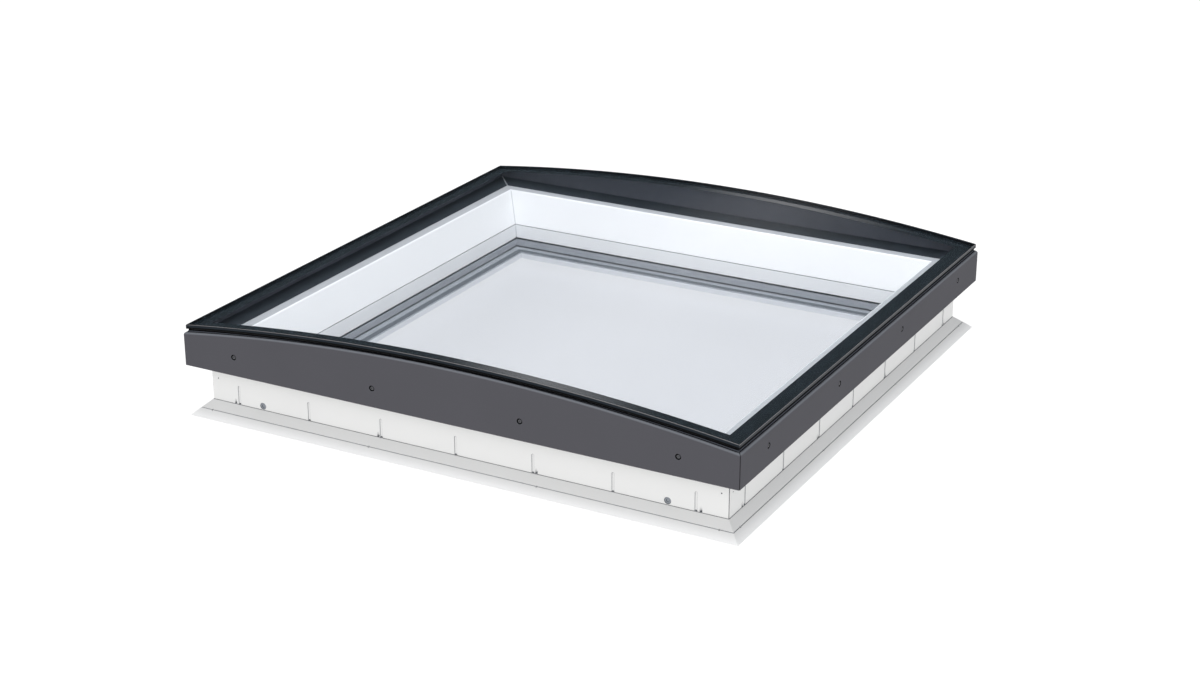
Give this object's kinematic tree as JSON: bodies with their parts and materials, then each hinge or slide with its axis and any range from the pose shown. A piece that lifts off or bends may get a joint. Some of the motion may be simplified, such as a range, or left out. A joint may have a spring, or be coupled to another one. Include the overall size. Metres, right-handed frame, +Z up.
{
  "type": "roof skylight",
  "caption": "Square fixed skylight for a flat roof: curved outer glass in an anthracite cover, on a white kerb frame with a flat glazing unit inside.",
  "frame": {"origin": "centre of the footprint, on the roof deck that the flange rests on", "axes": "+X to the right along the arched front, +Y to the back, +Z up out of the roof"},
  "size_m": [1.116, 1.116, 0.2155],
  "materials": {
    "kerb_white": "satin white extruded plastic",
    "bead_white": "satin bright white plastic",
    "cover_anthracite": "fine-grained anthracite powder coat",
    "rim_slate": "dark slate plastic",
    "seal_black": "matt black rubber",
    "outer_glass": "clear curved glass with a dark printed border",
    "flat_glass": "clear coated glass",
    "spacer_grey": "dark grey spacer bar",
    "gasket_grey": "grey glazing gasket",
    "screw_steel": "stainless steel",
    "cleat_metal": "mill finish aluminium",
    "plug_grey": "grey plastic",
    "foam": "light foam"
  },
  "bodies": {
    "root": {"base_rail_front": "kerb_white", "base_rail_right": "kerb_white", "base_rail_back": "kerb_white", "base_rail_left": "kerb_white", "wall_panel_front": "kerb_white", "wall_panel_right": "kerb_white", "wall_panel_back": "kerb_white", "wall_panel_left": "kerb_white", "flange_strip_front": "kerb_white", "flange_strip_right": "kerb_white", "flange_strip_back": "kerb_white", "flange_strip_left": "kerb_white", "insulation_front": "foam", "insulation_right": "foam", "insulation_back": "foam", "insulation_left": "foam", "glazing_bead_front": "bead_white", "glazing_bead_right": "bead_white", "glazing_bead_back": "bead_white", "glazing_bead_left": "bead_white", "rim_front": "rim_slate", "rim_right": "rim_slate", "rim_back": "rim_slate", "rim_left": "rim_slate", "cover_panel_front": "cover_anthracite", "cover_panel_right": "cover_anthracite", "cover_panel_back": "cover_anthracite", "cover_panel_left": "cover_anthracite", "inner_frame_front": "rim_slate", "inner_frame_right": "rim_slate", "inner_frame_back": "rim_slate", "inner_frame_left": "rim_slate", "glass_seal_front": "seal_black", "glass_seal_right": "seal_black", "glass_seal_back": "seal_black", "glass_seal_left": "seal_black", "weather_seal_front": "seal_black", "weather_seal_right": "seal_black", "weather_seal_back": "seal_black", "weather_seal_left": "seal_black", "cover_screws_front": "screw_steel", "cover_screws_right": "screw_steel", "cover_screws_back": "screw_steel", "cover_screws_left": "screw_steel", "curved_glass": "outer_glass", "pane_upper": "flat_glass", "pane_lower": "flat_glass", "spacer_frame": "spacer_grey", "edge_sealant": "seal_black", "glazing_gasket": "gasket_grey", "setting_blocks": "seal_black", "screw_washers": "seal_black", "fixing_blocks": "cleat_metal", "corner_cleats": "cleat_metal", "hole_plugs": "plug_grey"}
  },
  "joints": []
}
